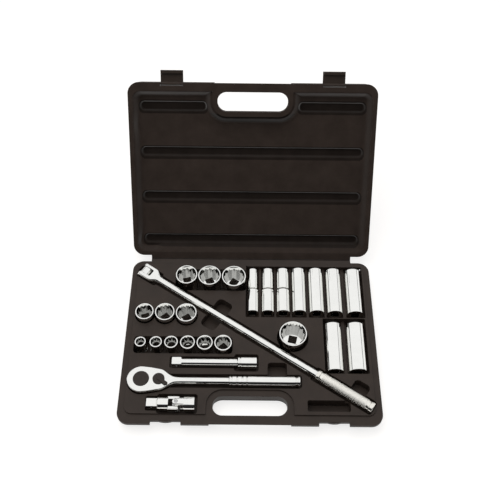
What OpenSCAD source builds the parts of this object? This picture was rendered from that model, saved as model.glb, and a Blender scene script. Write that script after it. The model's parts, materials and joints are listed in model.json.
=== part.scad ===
// Socket wrench set in a blow-moulded case, opened flat on its base.
// +X is right, +Y is back towards the hinge, +Z is up. The origin is the centre of the tray's base.
// Places on the tray are given as x from the centre line and t forward from the tray's back edge.
// Heights written as "above the rim" are measured from the plane where tray and lid meet.

/* [Case] */
// Width of the case
case_w = 400; // [394:2:430]
// Depth of the case, from hinge edge to handle edge
case_d = 290; // [289:1:320]
// Height of the tray
tray_h = 28; // [28:0.5:34]
// Height of the lid
lid_h = 28; // [28:0.5:34]
// Plastic wall thickness
wall = 2; // [1.6:0.1:2.4]
// Corner radius of the rim
rim_corner = 18; // [14:1:22]
// Height of the rim flange
flange_h = 6; // [5:0.5:7]
// Radius of the rounded edge between walls and base
base_round = 12; // [8:1:13]
// Height of the tool panel above the rim
panel_rise = 2.5; // [1.5:0.5:3]
// Depth of the hollow inside the lid
lid_hollow = 19; // [19:0.5:20]
// Depth of the stiffening grooves in the lid
groove_depth = 6.5; // [4:0.5:6.5]
// Angle to which the lid opens
open_angle = 126.7; // [100:0.1:135]
// Distance from the hinge fold to the back edges
hinge_gap = 6; // [5:0.5:8]

/* [Handle and latches] */
// Length of the hand hole
hole_w = 113.5; // [95:0.5:118]
// Width of the hand hole, front to back
hole_d = 31; // [30:1:36]
// Thickness of the carrying grip in front of the hand hole
grip_bar_w = 14; // [11:0.5:15]
// Thickness of each half of the case at the hand hole
handle_t = 11; // [9:0.5:13]
// Width of a latch
latch_w = 36; // [30:1:38]
// Distance of the latches from the centre line
latch_x = 129.5; // [126:0.5:131]
// Length of a latch from its pivot to its tip
latch_len = 21; // [20:0.5:23]
// Thickness of a latch plate
latch_t = 2.8; // [2.4:0.1:2.8]

/* [Drive] */
// Side of the square drive
drive_sq = 12.7; // [12.5:0.05:12.8]
// Length of the male square drive
drive_len = 15; // [13:0.5:16]
// Side of the female square
drive_hole = 12.95; // [12.9:0.05:13.2]
// Radius of the detent ball
ball_r = 2.4; // [2:0.1:2.6]
// How far the detent ball stands out
ball_out = 0.9; // [0.6:0.1:1.1]

/* [Sockets] */
// Depth of the socket pockets below the rim
pocket_depth = 25; // [24.5:0.5:25]
// Outer diameter of a socket per millimetre of bolt head
od_slope = 1.27; // [1.25:0.01:1.3]
// Wall added to every socket's outer diameter
od_add = 3.3; // [3:0.1:3.6]
// Smallest outer diameter of a socket's drive end
drive_end_d = 20.4; // [20:0.1:21]
// Height of the smallest sockets
socket_h = 37; // [35:0.5:38]
// Height of a deep socket
deep_len = 82.5; // [80:0.5:86]
// Length of the thicker drive end of a deep socket
deep_shoulder = 43.5; // [40:0.5:50]
// Height of the deep sockets' axes above the rim
deep_axis_z = -6; // [-7:0.5:-5]

/* [Ratchet] */
// Radius of the ratchet head
head_r = 21.5; // [20.5:0.5:22]
// Thickness of the ratchet head
head_t = 15; // [14:0.5:16]
// Radius of the ratchet handle's neck
neck_r = 5.9; // [5:0.1:6.5]
// Radius of the ratchet handle's grip
grip_r = 8.3; // [7.5:0.1:8.7]
// Length of the ratchet from gear centre to handle end
ratchet_len = 244; // [235:1:246]
// Number of teeth on the drive gear
gear_teeth = 36; // [30:1:45]

/* [Flex handle] */
// Length of the flex handle from pivot pin to end
flex_len = 435; // [430:1:435]
// Radius of the flex handle's bar
bar_r = 6; // [5.5:0.1:6.5]
// Radius of the knurled grip
knurl_r = 8.8; // [8:0.1:9]
// Length of the knurled grip
knurl_len = 99; // [90:1:105]
// Width of the yoke across its ears
yoke_w = 25; // [24:0.5:26]
// Thickness of the yoke
yoke_t = 17; // [16:0.5:18]

/* [Extension and joint] */
// Radius of the extension's shank
shank_r = 6.2; // [5.8:0.1:6.4]
// Length of the extension
ext_len = 132.5; // [128:0.5:134]
// Radius of the extension's socket end
ext_end_r = 9.2; // [9.2:0.1:9.6]
// Radius of the universal joint's barrels
ujoint_r = 11.3; // [11:0.1:11.6]

/* [Hidden] */
$fn = 64;

inch = 25.4;
over = 1;                          // how far a cutter runs past the face it cuts
run = 0.05;                        // radial running clearance of pins, balls and hubs
loose = 0.3;                       // clearance round a piece that lies in its pocket
axis_z = 2;                        // height of the hand tools' axes above the rim
rim_z = tray_h;
hinge_y = case_d/2 + hinge_gap;
hinge_len = case_w - 60;

// the tray's body hangs inside the rim flange
side_inset = 6;
front_inset = 13;
// the lid's body
lid_side_inset = 3;
lid_front_inset = 0.5;
// the tool panel and the lid's hollow, seen from above
panel_side = 10;
panel_back = 8.5;
panel_front = 15;
panel_corner = 12;
hollow_side = 7;
hollow_back = 6.5;
hollow_front = 13;
hole_corner = 15;                  // corner radius of the hand hole
hand_margin = 5;                   // thinned hand zone round the hole
boss_margin = 8;                   // lid boss round the hand hole
surround = 10;                     // flat surround of the hand hole in the tray

hole_t1 = case_d - grip_bar_w;     // front edge of the hand hole
hole_t0 = hole_t1 - hole_d;
hand_w = hole_w + 2*hand_margin;

// sockets: [bolt size, x, t, height above the smallest, pocket margin]
sockets = [
    [7/16, -173.7, 159.5, 0], [1/2, -149.3, 159.5, 0], [9/16, -125.2, 159.5, 0],
    [5/8, -99.3, 159.6, 0], [11/16, -72.2, 159.8, 0], [3/4, -43.2, 160, 0],
    [13/16, -171.6, 105.5, 1.5], [7/8, -138.8, 105.8, 1.5], [15/16, -104.1, 107, 1.5],
    [1, -107.2, 35.5, 3.5], [17/16, -69.1, 36.5, 3.5], [9/8, -28.5, 37.8, 3.5],
    [5/4, 67.4, 145.4, 5]];
// deep sockets: [bolt size, x, back t, wrench end diameter, drive end diameter]
deep_sockets = [
    [7/16, 3, 14, 16.8, 20.4], [1/2, 28.3, 14, 19.3, 21.4], [9/16, 53.6, 14, 21.4, 22.6],
    [5/8, 80, 14, 23.8, 23.8], [11/16, 108.8, 14.5, 25.6, 25.6], [3/4, 138.6, 15.5, 26.6, 26.6],
    [13/16, 171.7, 16.5, 28, 28], [7/8, 132.5, 119.5, 29.2, 29.2], [15/16, 168.8, 119.5, 31, 31]];

// the flex handle lies across the tray, from its pivot near the back to its end near the front edge
flex_x = -177;
flex_t = 23.9;
flex_turn = -33.5;
// the other hand tools are placed from the front edge
ratchet_x = -167.2;
ratchet_t = case_d - 68.5;
ext_x = -122.6;                    // tip of the extension's male square
ext_t = case_d - 100;
ujoint_x = -111;
ujoint_t = case_d - 30.8;
lever_x = 27;                      // reversing lever, ahead of the gear centre
lever_turn = -36;
latch_z = 10;                      // latch pivot above the rim
latch_in = 2.5;                    // latch pivot inside the case's front edge
latch_barrel_r = 2.4;
trunnion_r = 1.6;
trunnion_len = 2.5;
latch_open = 90;
catch_x = 126.5;
catch_w = 46;
catch_in = 5;                      // catch notch in the rim flange

// ---------- places and shared shapes ----------

module on_tray(x, t, z = 0) translate([x, case_d/2 - t, rim_z + z]) children();

module rounded_rect(x0, x1, y0, y1, r) {
    translate([x0 + r, y0]) square([x1 - x0 - 2*r, y1 - y0]);
    translate([x0, y0 + r]) square([x1 - x0, y1 - y0 - 2*r]);
    for (x = [x0 + r, x1 - r], y = [y0 + r, y1 - r]) translate([x, y]) circle(r);
}

// rounded edge of a dish: the quarter round between its base and its wall
module edge_round(r) intersection() {
    translate([0, r]) circle(r);
    square(r);
}

// a dish standing on z = 0, with rounded corners rc and a rounded base edge rb
module dish(x0, x1, y0, y1, h, rc, rb) {
    translate([0, 0, rb]) linear_extrude(h - rb) rounded_rect(x0, x1, y0, y1, rc);
    for (x = [x0 + rc, x1 - rc], y = [y0 + rc, y1 - rc]) translate([x, y, 0])
        rotate_extrude() {
            square([rc - rb, rb]);
            translate([rc - rb, 0]) edge_round(rb);
        }
    translate([0, y1 - rc, 0]) rotate([90, 0, 0]) linear_extrude(y1 - y0 - 2*rc) dish_profile(x0, x1, rb);
    translate([x0 + rc, 0, 0]) rotate([90, 0, 90]) linear_extrude(x1 - x0 - 2*rc) dish_profile(y0, y1, rb);
}

module dish_profile(a, b, rb) {
    translate([a + rb, 0]) square([b - a - 2*rb, rb]);
    translate([b - rb, 0]) edge_round(rb);
    translate([a + rb, 0]) mirror([1, 0]) edge_round(rb);
}

// cutter for a pocket: x range, t range, floor below the rim, corner radius, all grown by g
module pocket(x0, x1, t0, t1, depth, r, g = 0)
    translate([0, case_d/2, rim_z - depth - g]) linear_extrude(depth + g + panel_rise + over)
        rounded_rect(x0 - g, x1 + g, -t1 - g, -t0 + g, r + g);

module round_pocket(x, t, r, depth, g = 0)
    on_tray(x, t, -depth - g) cylinder(r = r + g, h = depth + g + panel_rise + over);

module box(x0, x1, y0, y1, z0, z1) translate([x0, y0, z0]) cube([x1 - x0, y1 - y0, z1 - z0]);

module along_x(x0, x1, r) translate([x0, 0, 0]) rotate([0, 90, 0]) cylinder(r = r, h = x1 - x0);

module cone_x(x0, x1, r0, r1) translate([x0, 0, 0]) rotate([0, 90, 0]) cylinder(r1 = r0, r2 = r1, h = x1 - x0);

module ring_x(x, w, r_out, r_in) difference() {
    along_x(x, x + w, r_out);
    along_x(x - over, x + w + over, r_in);
}

module square_x(x0, x1, s) box(x0, x1, -s/2, s/2, -s/2, s/2);

// a ball seat: the bore that the ball and its spring sit in, opening towards +Z from the square's face
ball_bore = 7;
module ball_seat() translate([0, 0, drive_sq/2 - ball_bore]) cylinder(r = ball_r + run, h = ball_bore + over);
module detent_ball() translate([0, 0, drive_sq/2 - ball_r + ball_out]) sphere(ball_r);
spring_wire = 0.5;
module ball_spring() translate([0, 0, drive_sq/2 - ball_bore])
    coil_spring(ball_r - 0.6, ball_bore - 2*ball_r + 0.4, 3);

// a helical spring standing on z = 0: mean radius r, height h, with the given number of turns
spring_sides = 6;
spring_steps = 14;
function coil_point(r, h, turns, i, j) =
    let (n = turns*spring_steps, a = 360*turns*i/n, b = 360*j/spring_sides, w = spring_wire/2,
         rr = r + w*cos(b))
    [rr*cos(a), rr*sin(a), w + (h - 2*w)*i/n + w*sin(b)];
module coil_spring(r, h, turns) {
    n = turns*spring_steps;
    points = [for (i = [0:n], j = [0:spring_sides - 1]) coil_point(r, h, turns, i, j)];
    sides = [for (i = [0:n - 1], j = [0:spring_sides - 1])
        let (k = (j + 1) % spring_sides)
        [i*spring_sides + j, i*spring_sides + k, (i + 1)*spring_sides + k, (i + 1)*spring_sides + j]];
    start = [for (j = [spring_sides - 1:-1:0]) j];
    end = [for (j = [0:spring_sides - 1]) n*spring_sides + j];
    polyhedron(points, concat([start, end], sides), convexity = 4);
}

// ---------- case ----------

module lid_place() translate([0, hinge_y, rim_z]) rotate([-open_angle, 0, 0]) translate([0, -hinge_y, -rim_z]) children();

socket_margin = 1.6;
row_margin = 1.2;
function od(i) = od_slope*sockets[i][0]*inch + od_add;
function foot_d(i) = max(od(i), drive_end_d);
function row_x0(i) = sockets[i][1] - foot_d(i)/2 - row_margin;
function row_x1(i) = sockets[i][1] + foot_d(i)/2 + row_margin;

// one trough for a row of sockets, from the first to the last
module row_pocket(first, last, g) pocket(row_x0(first), row_x1(last),
    sockets[last][2] - foot_d(last)/2 - row_margin, sockets[last][2] + foot_d(last)/2 + row_margin,
    pocket_depth, 6, g);

module deep_cradles(first, last, t0, t1, g) {
    for (i = [first:last]) let (s = deep_sockets[i]) {
        on_tray(s[1], t1 + g, deep_axis_z) rotate([-90, 0, 0]) cylinder(r = s[4]/2 + loose + g, h = t1 - t0 + 2*g);
    }
    pocket(deep_sockets[first][1] - deep_sockets[first][4]/2 - row_margin,
        deep_sockets[last][1] + deep_sockets[last][4]/2 + row_margin, t0, t1, 2 - deep_axis_z, 2, g);
}

// places along the flex handle, seen from its pivot
module on_flex() on_tray(flex_x, flex_t, axis_z) rotate([0, 0, flex_turn]) children();
module flex_channel(x0, x1, half, depth, r, g) on_flex()
    translate([0, 0, -axis_z - depth - g]) linear_extrude(depth + g + panel_rise + over)
        rounded_rect(x0 - g, x1 + g, -half - g, half + g, r + g);

function rest_depth(r) = r - axis_z + loose;   // pocket depth that a round of radius r lies in
head_reach = yoke_t/2 + drive_len - 1;          // flex head from pin to the square's tip
finger_depth = 14;

module flex_pockets(g) {
    flex_channel(10, flex_len + loose + 1, 10, rest_depth(bar_r), 4, g);
    flex_channel(flex_len - knurl_len - 6, flex_len + loose + 1, knurl_r + 3.6, rest_depth(knurl_r), 4, g);
    flex_channel(-10 - loose, 28, yoke_w/2 + 1.2, rest_depth(yoke_t/2), 3, g);
    flex_channel(-13, 17, 7.3, sqrt(head_reach*head_reach + drive_sq*drive_sq/4) - axis_z + loose, 2, g);
    // finger recesses across the bar and beside the grip
    flex_channel(132, 160, 29, finger_depth, 8, g);
    on_flex() translate([390, 0, -axis_z - finger_depth - g])
        linear_extrude(finger_depth + g + panel_rise + over) rounded_rect(-g, 26 + g, -6 - g, 29 + g, 7 + g);
}

// pear of the ratchet head: a round end that runs into the neck
head_side = [[0, 0], [12, -1.3], [22, -3.1], [33, -5.5]];   // [x, change of half width]
module ratchet_outline(margin) {
    side = concat([for (p = head_side) [p[0], head_r + p[1] + margin]], [[52, neck_r + margin]]);
    circle(head_r + margin);
    polygon(concat(side, [for (i = [len(side) - 1:-1:0]) [side[i][0], -side[i][1]]]));
}

module ratchet_pockets(g) {
    on_tray(ratchet_x, ratchet_t, -rest_depth(head_t/2) - g)
        linear_extrude(rest_depth(head_t/2) + g + panel_rise + over) ratchet_outline(1.2 + g);
    pocket(ratchet_x + 40, ratchet_x + ratchet_len + 3, ratchet_t - 11.6, ratchet_t + 11.4,
        rest_depth(grip_r), 5, g);
    round_pocket(ratchet_x, ratchet_t, 10.5, head_t/2 + drive_len - axis_z + 1, g);
    pocket(27, 57, ratchet_t - 32, ratchet_t + 11.4, finger_depth, 5, g);
}

module extension_pockets(g) {
    pocket(ext_x - 3.4, ext_x + ext_len - 20, ext_t - 10, ext_t + 10, rest_depth(drive_sq/2), 3, g);
    pocket(ext_x + ext_len - 35, ext_x + ext_len + 3, ext_t - 14.5, ext_t + 15, rest_depth(ext_end_r), 4, g);
}

module ujoint_pockets(g) {
    pocket(ujoint_x - 47, ujoint_x - 25, ujoint_t - 12.5, ujoint_t + 11, rest_depth(ujoint_r), 3, g);
    pocket(ujoint_x - 30, ujoint_x + 31.5, ujoint_t - 16, ujoint_t + 15.6, rest_depth(ujoint_r), 4, g);
    // room for the lower ear as the joint bends
    round_pocket(ujoint_x, ujoint_t, ear_r + 3, sqrt(ujoint_r*ujoint_r + ear_r*ear_r) - axis_z + loose, g);
}

module tray_pockets(g = 0) {
    row_pocket(0, 5, g);
    for (i = [6:8]) round_pocket(sockets[i][1], sockets[i][2], od(i)/2 + socket_margin, pocket_depth, g);
    row_pocket(9, 11, g);
    round_pocket(sockets[12][1], sockets[12][2], od(12)/2 + 3.4, pocket_depth, g);
    deep_cradles(0, 6, 8.5, 108.5, g);
    deep_cradles(7, 8, 110, 207, g);
    flex_pockets(g);
    ratchet_pockets(g);
    extension_pockets(g);
    ujoint_pockets(g);
    pocket(87, 152, case_d - 38.5, case_d - 20.5, 18, 3, g);
}

// outline round the hand hole, open towards the front, with the given margin
module hand_outline(margin) rounded_rect(-hole_w/2 - margin, hole_w/2 + margin, -case_d - 40, -hole_t0 + margin,
    hole_corner + margin);

// hand hole and the thinned zone round it, for a half whose rim is at z and whose outside faces side
module hand_hole(z, side, g = 0) {
    far = lid_h + tray_h;
    translate([0, case_d/2, z - far]) linear_extrude(2*far)
        rounded_rect(-hole_w/2 - g, hole_w/2 + g, -hole_t1 - g, -hole_t0 + g, hole_corner + g);
    translate([0, case_d/2, side < 0 ? z - far : z + handle_t - g]) linear_extrude(far - handle_t + g)
        hand_outline(hand_margin + g);
    // the grip's lower front edge is sloped off
    translate([-hand_w/2 - g, -case_d/2, z]) rotate([90, 0, 90]) linear_extrude(hand_w + 2*g)
        polygon([[-over - g, side*(1 - g)], [0.01, side*(1 - g)], [8 + g, side*(handle_t + over)], [-over - g, side*(handle_t + over)]]);
}

module catch_notch(x, g = 0)
    box(x - catch_w/2 - g, x + catch_w/2 + g, -case_d/2 - over - g, -case_d/2 + catch_in + g,
        rim_z - flange_h - over, rim_z + over);

module catch_lip(x) intersection() {
    box(x - 10, x + 10, -case_d/2 + catch_in - 1.5, -case_d/2 + catch_in + over, rim_z - flange_h, rim_z - 0.5);
    translate([x, -case_d/2 + catch_in + 33.5, rim_z - flange_h]) cylinder(r = 35, h = flange_h);
}

// a lug on a back wall, its face on the line halfway between tray and open lid
lug_reach = 15;
lug_w = 14;
lug_x = 120;
module stop_lug(x) {
    a = 180 - (360 - open_angle)/2;            // slope of the meeting line below the level
    translate([x - lug_w/2, hinge_y, rim_z]) rotate([90, 0, 90]) linear_extrude(lug_w)
        polygon([[-hinge_gap - side_inset - over, -flange_h],
                 [-hinge_gap - over, -flange_h + over],
                 [(flange_h + 3)/tan(a) - 0.2, -flange_h - 3],
                 [lug_reach*cos(a) - 0.2, -lug_reach*sin(a)],
                 [-hinge_gap - side_inset - over, -lug_reach - 2]]);
}

module hinge_leaf(z0, z1) box(-hinge_len/2, hinge_len/2, case_d/2 - over, hinge_y - 0.7, z0, z1);
leaf_t = 2;

module tray() color([0.23, 0.21, 0.2]) difference() {
    union() {
        translate([0, 0, rim_z - flange_h]) linear_extrude(flange_h)
            rounded_rect(-case_w/2, case_w/2, -case_d/2, case_d/2, rim_corner);
        dish(-case_w/2 + side_inset, case_w/2 - side_inset, -case_d/2 + front_inset, case_d/2 - side_inset,
            rim_z - flange_h/2, rim_corner, base_round);
        translate([0, case_d/2, rim_z - over]) linear_extrude(panel_rise + over) difference() {
            rounded_rect(-case_w/2 + panel_side, case_w/2 - panel_side, -case_d + panel_front, -panel_back,
                panel_corner);
            hand_outline(surround);
        }
        hinge_leaf(rim_z - leaf_t, rim_z - 0.1);
        for (s = [-1, 1]) stop_lug(s*lug_x);
    }
    tray_pockets();
    hand_hole(rim_z, -1);
    for (s = [-1, 1]) difference() {
        catch_notch(s*catch_x);
        catch_lip(s*catch_x);
    }
    // the sealed space between the tray's two skins
    difference() {
        translate([0, 0, wall]) dish(-case_w/2 + side_inset + wall, case_w/2 - side_inset - wall,
            -case_d/2 + front_inset + wall, case_d/2 - side_inset - wall,
            rim_z - 2*wall, rim_corner - wall, base_round - wall);
        tray_pockets(wall);
        hand_hole(rim_z, -1, wall);
    }
}

// cutter for the lid's hollow, or a groove in it, in the closed place: s is measured from the hinge edge
module lid_pocket(x0, x1, s0, s1, depth, r, g = 0)
    translate([0, case_d/2, rim_z - over]) linear_extrude(depth + g + over)
        rounded_rect(x0 - g, x1 + g, -s1 - g, -s0 + g, r + g);

groove_x = 184;
groove_w = 17.5;
groove_s = [15.5, 91.5, 167.5];     // hinge side of each long groove
short_groove = [74, 184];
short_groove_s = 242;
module lid_grooves(g = 0) {
    for (s = groove_s) lid_pocket(-groove_x, groove_x, s, s + groove_w, lid_hollow + groove_depth, 8, g);
    for (m = [0, 1]) mirror([m, 0, 0])
        lid_pocket(short_groove[0], short_groove[1], short_groove_s, short_groove_s + groove_w,
            lid_hollow + groove_depth, 8, g);
}

module lid_hollow_cut(g = 0) difference() {
    lid_pocket(-case_w/2 + hollow_side, case_w/2 - hollow_side, hollow_back, case_d - hollow_front,
        lid_hollow, rim_corner - 4, g);
    // the boss round the hand hole stays
    translate([0, case_d/2, rim_z - 2*over]) linear_extrude(lid_hollow + 4*over + g)
        hand_outline(boss_margin - g);
}

module latch_bay(x) {
    w = latch_w/2 + 0.6;
    pivot_y = -case_d/2 + latch_in;
    box(x - w, x + w, -case_d/2 - over, pivot_y + latch_barrel_r + 0.6, rim_z - over, rim_z + latch_z + latch_barrel_r + 0.8);
    translate([x - w - trunnion_len, pivot_y, rim_z + latch_z]) rotate([0, 90, 0])
        cylinder(r = trunnion_r + run, h = 2*(w + trunnion_len));
}

module lid() color([0.18, 0.16, 0.15]) lid_place() difference() {
    union() {
        translate([0, 0, rim_z]) linear_extrude(flange_h)
            rounded_rect(-case_w/2, case_w/2, -case_d/2, case_d/2, rim_corner);
        translate([0, 0, rim_z + lid_h]) mirror([0, 0, 1])
            dish(-case_w/2 + lid_side_inset, case_w/2 - lid_side_inset, -case_d/2 + lid_front_inset,
                case_d/2 - lid_side_inset, lid_h - flange_h/2, rim_corner, base_round);
        hinge_leaf(rim_z + 0.1, rim_z + leaf_t);
        translate([0, 0, 2*rim_z]) mirror([0, 0, 1]) for (s = [-1, 1]) stop_lug(s*lug_x);
    }
    lid_hollow_cut();
    lid_grooves();
    hand_hole(rim_z, 1);
    for (s = [-1, 1]) latch_bay(s*latch_x);
    // the sealed space between the lid's two skins
    difference() {
        translate([0, 0, rim_z + lid_h - wall]) mirror([0, 0, 1])
            dish(-case_w/2 + lid_side_inset + wall, case_w/2 - lid_side_inset - wall,
                -case_d/2 + lid_front_inset + wall, case_d/2 - lid_side_inset - wall,
                lid_h - 2*wall, rim_corner - wall, base_round - wall);
        lid_hollow_cut(wall);
        lid_grooves(wall);
        hand_hole(rim_z, 1, wall);
        for (s = [-1, 1]) box(s*latch_x - latch_w/2 - trunnion_len - wall, s*latch_x + latch_w/2 + trunnion_len + wall,
            -case_d/2 - over, -case_d/2 + latch_in + latch_barrel_r + 0.6 + wall,
            rim_z - over, rim_z + latch_z + latch_barrel_r + 0.8 + wall);
    }
}

module living_hinge() color([0.15, 0.13, 0.12]) translate([-hinge_len/2, hinge_y, rim_z]) rotate([0, 90, 0])
    cylinder(r = 0.6, h = hinge_len);

// a latch in its closed place, hanging from its pivot over the rim
module latch(x) {
    pivot_y = -case_d/2 + latch_in;
    face = latch_barrel_r - 0.1;               // outer face of the plate, ahead of the pivot
    lid_place() translate([x, pivot_y, rim_z + latch_z]) rotate([-latch_open, 0, 0]) {
        rotate([0, 90, 0]) translate([0, 0, -latch_w/2]) cylinder(r = latch_barrel_r, h = latch_w);
        rotate([0, 90, 0]) translate([0, 0, -latch_w/2 - trunnion_len]) cylinder(r = trunnion_r, h = latch_w + 2*trunnion_len);
        box(-latch_w/2, latch_w/2, -face, -face + latch_t, -latch_len, 0);
        box(-latch_w/2 + 1, latch_w/2 - 1, -face + 1, catch_in + 2 - latch_in, -latch_len, -latch_z - flange_h - loose);
    }
}

module latch_left() color([0.23, 0.21, 0.2]) latch(-latch_x);
module latch_right() color([0.23, 0.21, 0.2]) latch(latch_x);

// ---------- sockets ----------

// twelve-point broach: two hexagons, a twelfth of a turn apart
module broach(af, h) for (a = [0, 30]) rotate([0, 0, a]) cylinder(r = af/sqrt(3), h = h, $fn = 6);

// a socket standing on its drive end: af across flats, wrench end and drive end diameters, height,
// and the height at which it steps from one diameter to the other
module socket(af, d, foot, h, shoulder) {
    broach_h = min(0.95*af, h - drive_len);
    chamfer = 0.8;
    // the square runs through to the broach where that is wide enough, or else a round bore follows it
    square_h = af/2 > 0.72*drive_hole && h < 2*socket_h ? h - broach_h + 0.1 : drive_len;
    difference() {
        rotate_extrude() polygon([[0, 0], [foot/2 - chamfer, 0], [foot/2, chamfer], [foot/2, shoulder],
            [d/2, shoulder + (foot - d)/2 + 0.1], [d/2, h - chamfer], [d/2 - chamfer, h], [0, h]]);
        translate([0, 0, h - broach_h]) broach(af + 0.2, broach_h + over);
        translate([0, 0, h - 1.2]) cylinder(r1 = af/2, r2 = af/sqrt(3) + 0.9, h = 1.3);
        translate([-drive_hole/2, -drive_hole/2, -over]) cube([drive_hole, drive_hole, square_h + over]);
        if (square_h == drive_len) translate([0, 0, square_h - 0.1]) cylinder(r = af/2 - 0.6, h = h - broach_h - square_h + 0.2);
    }
}

module upright_socket(i) color([0.85, 0.86, 0.88]) let (s = sockets[i])
    on_tray(s[1], s[2], -pocket_depth) socket(s[0]*inch, od(i), foot_d(i), socket_h + s[3], drive_len + 1);

module deep_socket(i) color([0.85, 0.86, 0.88]) let (s = deep_sockets[i])
    on_tray(s[1], s[2] + deep_len, deep_axis_z) rotate([-90, 0, 0]) socket(s[0]*inch, s[3], s[4], deep_len, deep_shoulder);

// ---------- ratchet ----------

module on_ratchet() on_tray(ratchet_x, ratchet_t, axis_z) children();
gear_r = 14;
tooth_h = 1.2;
cap_r = 12.3;                      // round cap of the gear, seen in the head's top
pawl_gap = 2;
lever_r = 9.2;
lever_hub_r = 3.2;
pawl_back = gear_r + 6.4;         // face of the pawl towards the lever
ring_t = 1.2;
ring_z = -head_t/2 + 1;
web = 2;                           // metal left above the gear

module ratchet_body() color([0.85, 0.86, 0.88]) on_ratchet() difference() {
    union() {
        translate([0, 0, -head_t/2]) linear_extrude(head_t) intersection() {
            ratchet_outline(0);
            translate([-head_r - over, -head_r - over]) square([head_r + 34 + over, 2*head_r + 2*over]);
        }
        translate([0, 0, -head_t/2 + 1.5]) linear_extrude(head_t - 3) ratchet_outline(0);
        along_x(48, ratchet_len - 109, neck_r);
        along_x(ratchet_len - 109, ratchet_len, grip_r);
    }
    // rings turned into the grip
    for (x = [ratchet_len - 106, ratchet_len - 97, ratchet_len - 89, ratchet_len - 82, ratchet_len - 6])
        ring_x(x, 1.4, grip_r + over, grip_r - 0.8);
    // gear bore, open at the bottom, and the cap's hole above it
    translate([0, 0, -head_t/2 - over]) cylinder(r = gear_r + 0.6, h = head_t - web + over);
    translate([0, 0, -head_t/2]) cylinder(r = cap_r + run, h = head_t + over);
    translate([0, 0, ring_z]) cylinder(r = gear_r + 1.9, h = ring_t + 0.2);
    // pawl chamber and lever bore
    translate([gear_r - 3, -9, -head_t/2 + 3]) cube([lever_x - gear_r + 10, 18, head_t - 3 - web - 1]);
    translate([lever_x, 0, 0]) cylinder(r = 5 + run, h = head_t);
    translate([lever_x, 0, head_t/2 - 1]) cylinder(r = lever_r + 0.3, h = head_t);
}

module ratchet_drive_gear() color([0.2, 0.19, 0.18]) on_ratchet() difference() {
    union() {
        translate([0, 0, -head_t/2 + 2.6]) linear_extrude(head_t - web - 2.9) polygon([for (i = [0:2*gear_teeth - 1])
            let (a = 180*i/gear_teeth, r = gear_r - (i % 2)*tooth_h) [r*cos(a), r*sin(a)]]);
        translate([0, 0, -head_t/2]) cylinder(r = 11, h = head_t/2);
        cylinder(r = cap_r, h = head_t/2 + 0.4);
        translate([-drive_sq/2, -drive_sq/2, -head_t/2 - drive_len]) cube([drive_sq, drive_sq, drive_len + over]);
    }
    translate([0, 0, -head_t/2 - drive_len/2]) rotate([90, 0, 0]) ball_seat();
}

module on_ratchet_ball() on_ratchet() translate([0, 0, -head_t/2 - drive_len/2]) rotate([90, 0, 0]) children();
module ratchet_ball() color([0.75, 0.75, 0.76]) on_ratchet_ball() detent_ball();
module ratchet_ball_spring() color([0.6, 0.6, 0.62]) on_ratchet_ball() ball_spring();

module ratchet_retaining_ring() color([0.35, 0.34, 0.33]) on_ratchet() translate([0, 0, ring_z + 0.1]) difference() {
    cylinder(r = gear_r + 1.8, h = ring_t);
    translate([0, 0, -over]) cylinder(r = 11.4, h = ring_t + 2*over);
    translate([-30, -3, -over]) cube([30, 6, ring_t + 2*over]);
}

module ratchet_reversing_lever() color([0.2, 0.19, 0.18]) on_ratchet() translate([lever_x, 0, 0]) rotate([0, 0, lever_turn]) {
    translate([0, 0, head_t/2 - 0.7]) cylinder(r = lever_r, h = 2.2);
    translate([0, 0, 3.4]) cylinder(r = 5, h = head_t/2 - 3.4);
    translate([0, 0, -4]) cylinder(r = lever_hub_r, h = head_t/2);
    // thumb tab
    translate([0, 0, head_t/2 + 0.3]) linear_extrude(2.2) {
        translate([0, -3.2]) square([14, 6.4]);
        translate([14, 0]) circle(3.2);
    }
}

pawl_rock = -7;
module ratchet_pawl() color([0.4, 0.39, 0.38]) on_ratchet() translate([lever_x, 0, 0]) rotate([0, 0, pawl_rock])
    translate([-lever_x, 0, -head_t/2 + 3.4]) linear_extrude(4.6) difference() {
        translate([gear_r - 1, -6.5]) square([pawl_back - gear_r + 1, 13]);
        circle(gear_r + pawl_gap);
    }

// the spring stands between the pawl and the lever's hub
module ratchet_pawl_spring() color([0.6, 0.6, 0.62]) on_ratchet() translate([pawl_back + 0.3, 0, -head_t/2 + 5.7])
    rotate([0, 90, 0]) coil_spring(1.5, lever_x - lever_hub_r - pawl_back - 0.6, 2);

// ---------- flex handle ----------

slot_w = 13.4;
slot_end = 12;
pin_r = 3;
module flex_handle_bar() color([0.85, 0.86, 0.88]) on_flex() difference() {
    union() {
        intersection() {
            translate([-10, 0, 0]) box(0, 28, -yoke_w/2, yoke_w/2, -yoke_t/2, yoke_t/2);
            union() {
                rotate([90, 0, 0]) translate([0, 0, -yoke_w/2]) cylinder(r = 10, h = yoke_w);
                box(0, 16, -yoke_w/2, yoke_w/2, -yoke_t/2, yoke_t/2);
            }
        }
        cone_x(15.9, 26, yoke_t/2, bar_r);
        along_x(20, flex_len - knurl_len + 0.5, bar_r);
        along_x(flex_len - knurl_len, flex_len - 4, knurl_r - 2.5);
    }
    box(-11, slot_end, -slot_w/2, slot_w/2, -yoke_t, yoke_t);
    rotate([90, 0, 0]) translate([0, 0, -yoke_w]) cylinder(r = pin_r + run, h = 2*yoke_w);
}

module flex_handle_grip() color([0.75, 0.76, 0.78]) on_flex() difference() {
    union() {
        along_x(flex_len - knurl_len, flex_len, knurl_r - 0.5);
        along_x(flex_len - knurl_len + 9, flex_len - 9, knurl_r);
        along_x(flex_len - knurl_len, flex_len - knurl_len + 6, knurl_r);
        along_x(flex_len - 6, flex_len, knurl_r);
    }
    along_x(flex_len - knurl_len - over, flex_len - 4 + 0.2, knurl_r - 2.5 + run);
    along_x(flex_len - 4, flex_len + over, knurl_r - 3);
}

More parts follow.
